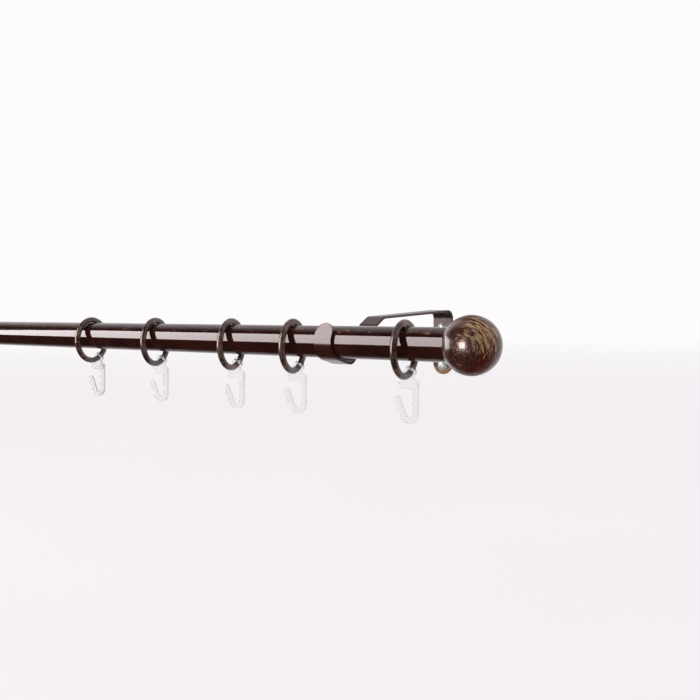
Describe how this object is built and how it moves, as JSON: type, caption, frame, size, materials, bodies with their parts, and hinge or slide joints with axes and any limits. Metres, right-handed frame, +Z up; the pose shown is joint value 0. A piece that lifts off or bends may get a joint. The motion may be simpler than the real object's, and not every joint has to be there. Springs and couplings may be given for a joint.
{
  "type": "curtain rod with brackets",
  "caption": "Round metal curtain rod in two bent-strip wall brackets that clip under it, with ball finials, sliding rings and clear plastic curtain hooks.",
  "frame": {"origin": "on the wall plane, midway between the two brackets and midway between their upper and lower screws", "axes": "+X along the rod to the right as seen from the room, +Y into the wall, +Z up"},
  "size_m": [1.2584, 0.1674, 0.067],
  "materials": {
    "rod_lacquer": "gloss dark bronze lacquer",
    "ball_lacquer": "gloss dark bronze lacquer brushed with gold",
    "bracket_lacquer": "gloss dark bronze lacquer, gold rubbed on at the ends",
    "ring_bronze": "satin bronze lacquer speckled with gold",
    "clear_plastic": "clear, glossy",
    "zinc": "bright zinc plate",
    "stud_steel": "bright",
    "nylon": "matt"
  },
  "bodies": {
    "brackets": {"bracket_strip_right": "bracket_lacquer", "bracket_strip_left": "bracket_lacquer", "wall_screws_right": "zinc", "wall_screws_left": "zinc"},
    "rod": {"rod_tube": "rod_lacquer"},
    "finial_right": {"finial_ball_right": "ball_lacquer", "finial_stud_right": "stud_steel", "finial_insert_right": "nylon"},
    "finial_left": {"finial_ball_left": "ball_lacquer", "finial_stud_left": "stud_steel", "finial_insert_left": "nylon"},
    "ring_01": {"ring_01": "ring_bronze"},
    "ring_02": {"ring_02": "ring_bronze"},
    "ring_03": {"ring_03": "ring_bronze"},
    "ring_04": {"ring_04": "ring_bronze"},
    "ring_05": {"ring_05": "ring_bronze"},
    "ring_06": {"ring_06": "ring_bronze"},
    "ring_07": {"ring_07": "ring_bronze"},
    "ring_08": {"ring_08": "ring_bronze"},
    "ring_09": {"ring_09": "ring_bronze"},
    "ring_10": {"ring_10": "ring_bronze"},
    "hook_01": {"hook_01": "clear_plastic"},
    "hook_02": {"hook_02": "clear_plastic"},
    "hook_03": {"hook_03": "clear_plastic"},
    "hook_04": {"hook_04": "clear_plastic"},
    "hook_05": {"hook_05": "clear_plastic"},
    "hook_06": {"hook_06": "clear_plastic"},
    "hook_07": {"hook_07": "clear_plastic"},
    "hook_08": {"hook_08": "clear_plastic"},
    "hook_09": {"hook_09": "clear_plastic"},
    "hook_10": {"hook_10": "clear_plastic"}
  },
  "joints": [
    {"name": "rod_lift", "type": "slide", "parent": "brackets", "child": "rod", "axis": [0, 0.3746, 0.9272], "range_m": [0, 0.03]},
    {"name": "finial_pull_right", "type": "slide", "parent": "rod", "child": "finial_right", "axis": [1, 0, 0], "range_m": [0, 0.04]},
    {"name": "finial_pull_left", "type": "slide", "parent": "rod", "child": "finial_left", "axis": [-1, 0, 0], "range_m": [0, 0.04]},
    {"name": "ring_slide_01", "type": "slide", "parent": "rod", "child": "ring_01", "axis": [1, 0, 0], "range_m": [-0.04, 0.028]},
    {"name": "ring_slide_02", "type": "slide", "parent": "rod", "child": "ring_02", "axis": [1, 0, 0], "range_m": [-0.044, 0.02]},
    {"name": "ring_slide_03", "type": "slide", "parent": "rod", "child": "ring_03", "axis": [1, 0, 0], "range_m": [-0.066, 0.044]},
    {"name": "ring_slide_04", "type": "slide", "parent": "rod", "child": "ring_04", "axis": [1, 0, 0], "range_m": [-0.061, 0.066]},
    {"name": "ring_slide_05", "type": "slide", "parent": "rod", "child": "ring_05", "axis": [1, 0, 0], "range_m": [-0.5, 0.061]},
    {"name": "ring_slide_06", "type": "slide", "parent": "rod", "child": "ring_06", "axis": [1, 0, 0], "range_m": [-0.028, 0.04]},
    {"name": "ring_slide_07", "type": "slide", "parent": "rod", "child": "ring_07", "axis": [1, 0, 0], "range_m": [-0.02, 0.044]},
    {"name": "ring_slide_08", "type": "slide", "parent": "rod", "child": "ring_08", "axis": [1, 0, 0], "range_m": [-0.044, 0.066]},
    {"name": "ring_slide_09", "type": "slide", "parent": "rod", "child": "ring_09", "axis": [1, 0, 0], "range_m": [-0.066, 0.061]},
    {"name": "ring_slide_10", "type": "slide", "parent": "rod", "child": "ring_10", "axis": [1, 0, 0], "range_m": [-0.061, 0.5]},
    {"name": "hook_swing_01", "type": "hinge", "parent": "ring_01", "child": "hook_01", "pos_m": [0.56438, -0.11037, -0.01071], "axis": [-0.1801, 0.8471, 0.5], "range_deg": [-35, 35]},
    {"name": "hook_swing_02", "type": "hinge", "parent": "ring_02", "child": "hook_02", "pos_m": [0.47485, -0.1105, -0.01071], "axis": [-0.2387, 0.8325, 0.5], "range_deg": [-35, 35]},
    {"name": "hook_swing_03", "type": "hinge", "parent": "ring_03", "child": "hook_03", "pos_m": [0.41772, -0.11054, -0.01071], "axis": [-0.2532, 0.8282, 0.5], "range_deg": [-35, 35]},
    {"name": "hook_swing_04", "type": "hinge", "parent": "ring_04", "child": "hook_04", "pos_m": [0.33772, -0.11054, -0.01071], "axis": [-0.2532, 0.8282, 0.5], "range_deg": [-35, 35]},
    {"name": "hook_swing_05", "type": "hinge", "parent": "ring_05", "child": "hook_05", "pos_m": [0.26138, -0.11037, -0.01071], "axis": [-0.1801, 0.8471, 0.5], "range_deg": [-35, 35]},
    {"name": "hook_swing_06", "type": "hinge", "parent": "ring_06", "child": "hook_06", "pos_m": [-0.56438, -0.11037, -0.01071], "axis": [0.1801, 0.8471, 0.5], "range_deg": [-35, 35]},
    {"name": "hook_swing_07", "type": "hinge", "parent": "ring_07", "child": "hook_07", "pos_m": [-0.47485, -0.1105, -0.01071], "axis": [0.2387, 0.8325, 0.5], "range_deg": [-35, 35]},
    {"name": "hook_swing_08", "type": "hinge", "parent": "ring_08", "child": "hook_08", "pos_m": [-0.41772, -0.11054, -0.01071], "axis": [0.2532, 0.8282, 0.5], "range_deg": [-35, 35]},
    {"name": "hook_swing_09", "type": "hinge", "parent": "ring_09", "child": "hook_09", "pos_m": [-0.33772, -0.11054, -0.01071], "axis": [0.2532, 0.8282, 0.5], "range_deg": [-35, 35]},
    {"name": "hook_swing_10", "type": "hinge", "parent": "ring_10", "child": "hook_10", "pos_m": [-0.26138, -0.11037, -0.01071], "axis": [0.1801, 0.8471, 0.5], "range_deg": [-35, 35]}
  ]
}
